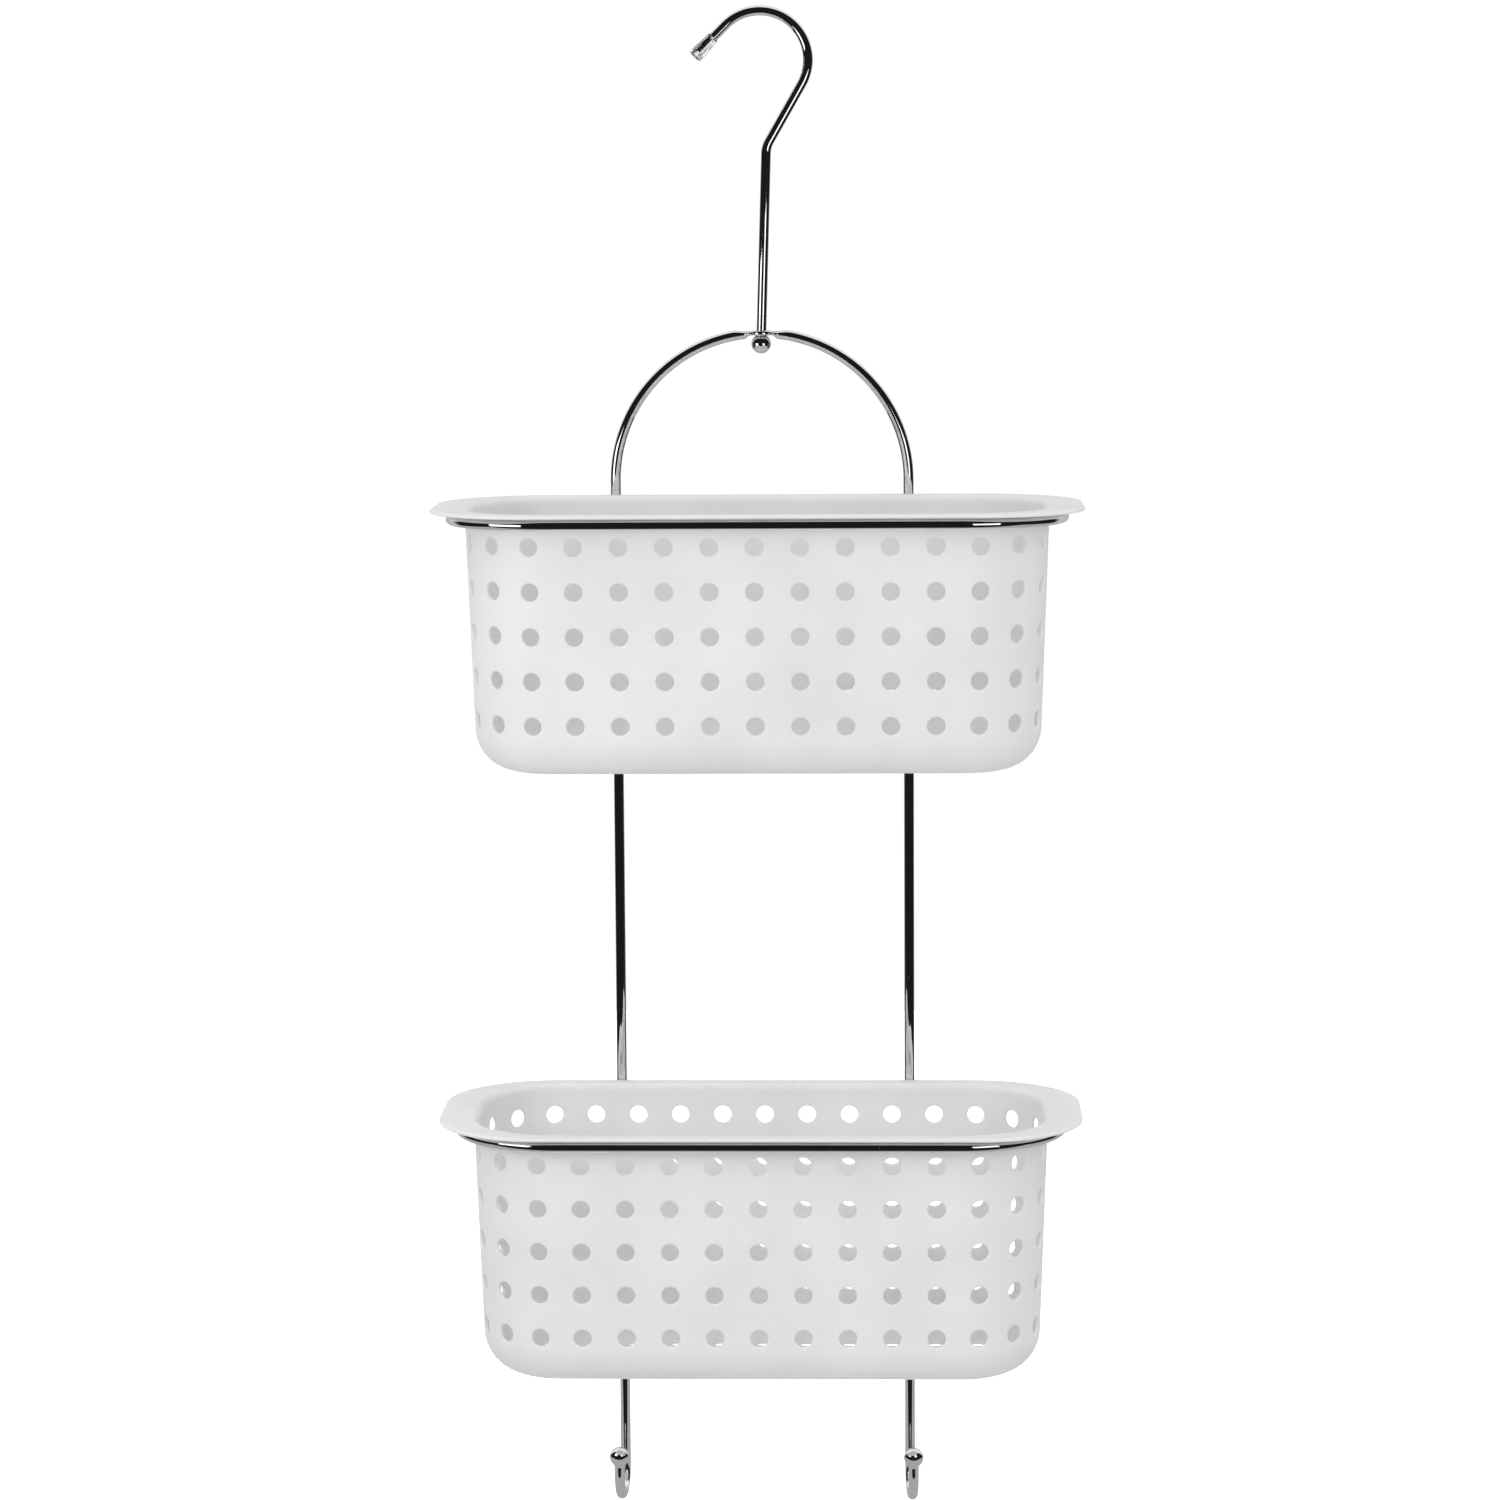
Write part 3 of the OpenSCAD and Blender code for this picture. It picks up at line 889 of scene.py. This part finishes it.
def plastic_material():
    """Natural polypropylene with a satin moulded skin, milky and a little see-through."""
    material, nodes, links, shader = new_material("frosted_polypropylene")
    coords = nodes.new("ShaderNodeTexCoord").outputs["Object"]
    cloud = noise_node(nodes, links, coords, 22, 4)
    grain = noise_node(nodes, links, coords, 2600, 2, 0.6)
    skin = noise_node(nodes, links, coords, 420, 3)
    tone = ramp_node(nodes, links, cloud.outputs["Fac"], (
        (0.3, (0.86, 0.865, 0.865)), (0.7, (0.92, 0.925, 0.925))))
    links.new(tone.outputs["Color"], shader.inputs["Base Color"])
    rough = range_node(nodes, links, skin.outputs["Fac"], 0.3, 0.7, 0.4, 0.52)
    links.new(rough.outputs["Result"], shader.inputs["Roughness"])
    shader.inputs["IOR"].default_value = 1.3
    shader.inputs["Specular IOR Level"].default_value = 0.25
    shader.inputs["Transmission Weight"].default_value = 0.06
    shader.inputs["Subsurface Weight"].default_value = 1.0
    shader.inputs["Subsurface Radius"].default_value = (1.0, 1.0, 1.0)
    shader.inputs["Subsurface Scale"].default_value = 1.6 * MM
    soft = bump_node(nodes, links, skin.outputs["Fac"], 0.08, 0.04 * MM)
    fine = bump_node(nodes, links, grain.outputs["Fac"], 0.1, 0.015 * MM, soft.outputs["Normal"])
    links.new(fine.outputs["Normal"], shader.inputs["Normal"])
    return material


def vinyl_material():
    """Clear soft vinyl of the tip cap, with fine mould lines and a faint haze."""
    material, nodes, links, shader = new_material("clear_vinyl")
    shader.inputs["Transmission Weight"].default_value = 1.0
    shader.inputs["IOR"].default_value = 1.5
    coords = nodes.new("ShaderNodeTexCoord").outputs["Object"]
    cloud = noise_node(nodes, links, coords, 500, 3)
    tone = ramp_node(nodes, links, cloud.outputs["Fac"], (
        (0.3, (0.66, 0.67, 0.68)), (0.7, (0.8, 0.81, 0.81))))
    links.new(tone.outputs["Color"], shader.inputs["Base Color"])
    haze = range_node(nodes, links, cloud.outputs["Fac"], 0.3, 0.7, 0.06, 0.16)
    links.new(haze.outputs["Result"], shader.inputs["Roughness"])
    skin = bump_node(nodes, links, cloud.outputs["Fac"], 0.2, 0.08 * MM)
    links.new(skin.outputs["Normal"], shader.inputs["Normal"])
    return material


# ---------------------------------------------------------------- stage, light and camera

FLOOR_Z = -2.8
FLOOR_HALF = 12
TABLE_Z = -0.83
TABLE_FRONT = -0.34
TABLE_LIGHT = 0.45
SKY_LOW = 0.62
SKY_HIGH = 1.02
SIDE_LIGHT = 0.6
BACK_LIGHT = 0.5
CAMERA_WHITE = 1.05
CAMERA_SPOT = (61.72 * MM, -2106.14 * MM, -76.91 * MM)
CAMERA_PITCH = math.radians(7.5)
CAMERA_TURN = math.radians(1.86)
CAMERA_ROLL = math.radians(0.37)
SENSOR = 36.0
LENS = 104.3172


def studio_plane(name, half, front, back, height, grey, glow):
    """Flat matt sheet that glows by itself."""
    verts = [
        (-half, front, height), (half, front, height), (half, back, height), (-half, back, height)]
    mesh = bpy.data.meshes.new(name)
    mesh.from_pydata(verts, [], [(0, 1, 2, 3)])
    plane = bpy.data.objects.new(name, mesh)
    bpy.context.scene.collection.objects.link(plane)
    material, _, _, shader = new_material(name + "_matt")
    shader.inputs["Base Color"].default_value = (grey, grey, grey, 1)
    shader.inputs["Roughness"].default_value = 0.9
    shader.inputs["Specular IOR Level"].default_value = 0.0
    shader.inputs["Emission Color"].default_value = (1, 1, 1, 1)
    shader.inputs["Emission Strength"].default_value = glow
    mesh.materials.append(material)
    plane.visible_diffuse = False
    plane.visible_shadow = False
    return plane


def make_floor():
    """Plain white floor, a little self-lit so that it stays pale in every view."""
    floor = studio_plane("studio_floor", FLOOR_HALF, -FLOOR_HALF, FLOOR_HALF, FLOOR_Z, 0.8, 1.0)
    floor.visible_glossy = False


def make_table():
    """Low grey table, seen only in the chrome, that lights the wire from below."""
    table = studio_plane("studio_table", 1, TABLE_FRONT, 1, TABLE_Z, 0.0, TABLE_LIGHT)
    table.visible_camera = False
    table.visible_transmission = False


def make_world():
    """White for the camera and an even pale light for the plastic. Reflections see a white
    back and ceiling and a dark room in front, as in a small studio."""
    world = bpy.data.worlds.new("studio")
    bpy.context.scene.world = world
    world.use_nodes = True
    nodes = world.node_tree.nodes
    links = world.node_tree.links
    shade = nodes["Background"]
    out = nodes["World Output"]
    coords = nodes.new("ShaderNodeTexCoord").outputs["Generated"]
    split = nodes.new("ShaderNodeSeparateXYZ")
    links.new(coords, split.inputs["Vector"])
    height = math_node(nodes, links, "MAXIMUM", split.outputs["Z"], 0.0)
    back = math_node(nodes, links, "MULTIPLY_ADD", height, 0.8, split.outputs["Y"])
    lit = range_node(nodes, links, back, 0.5, 0.78, 0.0, 1.0)
    lit.interpolation_type = "SMOOTHSTEP"
    wall = range_node(nodes, links, split.outputs["Y"], 0.5, 0.9, 1.0, BACK_LIGHT)
    wall.interpolation_type = "SMOOTHSTEP"
    shown = math_node(nodes, links, "MULTIPLY", lit.outputs["Result"], wall.outputs["Result"])
    room = ramp_node(nodes, links, shown, (
        (0.0, (0.012, 0.012, 0.013)), (1.0, (1.0, 1.0, 1.0))))
    links.new(room.outputs["Color"], shade.inputs["Color"])
    shade.inputs["Strength"].default_value = 1.0
    pale = nodes.new("ShaderNodeBackground")
    pale.inputs["Color"].default_value = (1, 1, 1, 1)
    sky = range_node(nodes, links, split.outputs["Z"], -1.0, 1.0, SKY_LOW, SKY_HIGH)
    side = math_node(nodes, links, "ABSOLUTE", split.outputs["X"])
    aside = range_node(nodes, links, side, 0.35, 1.0, 1.0, SIDE_LIGHT)
    even = math_node(nodes, links, "MULTIPLY", sky.outputs["Result"], aside.outputs["Result"])
    links.new(even, pale.inputs["Strength"])
    plain = nodes.new("ShaderNodeBackground")
    plain.inputs["Color"].default_value = (1, 1, 1, 1)
    plain.inputs["Strength"].default_value = CAMERA_WHITE
    rays = nodes.new("ShaderNodeLightPath")
    pick = nodes.new("ShaderNodeMixShader")
    links.new(rays.outputs["Is Diffuse Ray"], pick.inputs["Fac"])
    links.new(shade.outputs["Background"], pick.inputs[1])
    links.new(pale.outputs["Background"], pick.inputs[2])
    seen = nodes.new("ShaderNodeMixShader")
    links.new(rays.outputs["Is Camera Ray"], seen.inputs["Fac"])
    links.new(pick.outputs["Shader"], seen.inputs[1])
    links.new(plain.outputs["Background"], seen.inputs[2])
    links.new(seen.outputs["Shader"], out.inputs["Surface"])


def soft_box(name, spot, target, width, height, power):
    data = bpy.data.lights.new(name, "AREA")
    data.shape = "RECTANGLE"
    data.size = width
    data.size_y = height
    data.energy = power
    lamp = bpy.data.objects.new(name, data)
    bpy.context.scene.collection.objects.link(lamp)
    lamp.location = spot
    aim = Vector(target) - Vector(spot)
    lamp.rotation_mode = "QUATERNION"
    lamp.rotation_quaternion = aim.to_track_quat("-Z", "Y")
    lamp.visible_camera = False


def make_lights():
    target = (0, -0.06, -0.35)
    soft_box("left_soft_box", (-0.56, -0.5, -0.27), target, 0.4, 0.32, 0.8)
    soft_box("right_soft_box", (0.42, -0.72, -0.27), target, 0.36, 0.32, 0.6)


def make_camera():
    data = bpy.data.cameras.new("studio_camera")
    data.sensor_width = SENSOR
    data.sensor_fit = "AUTO"
    data.lens = LENS
    data.clip_start = 0.05
    data.clip_end = 60
    camera = bpy.data.objects.new("studio_camera", data)
    bpy.context.scene.collection.objects.link(camera)
    back = Vector((
        math.sin(CAMERA_TURN) * math.cos(CAMERA_PITCH),
        -math.cos(CAMERA_TURN) * math.cos(CAMERA_PITCH),
        math.sin(CAMERA_PITCH),
    ))
    right = (-back).cross(Vector((0, 0, 1))).normalized()
    up = right.cross(-back)
    basis = Matrix((right, up, back)).transposed().to_4x4()
    turn = Matrix.Rotation(-CAMERA_ROLL, 4, "Z")
    camera.matrix_world = Matrix.Translation(CAMERA_SPOT) @ basis @ turn
    bpy.context.scene.camera = camera


bpy.context.scene.view_settings.view_transform = "Standard"
make_camera()
make_floor()
make_table()
make_world()
make_lights()
chrome = chrome_material()
make_rail_hook(chrome, vinyl_material())
make_frame_wire(chrome)
make_ring("upper_ring", UPPER_Z, chrome)
make_ring("lower_ring", LOWER_Z, chrome)
make_baskets(plastic_material())
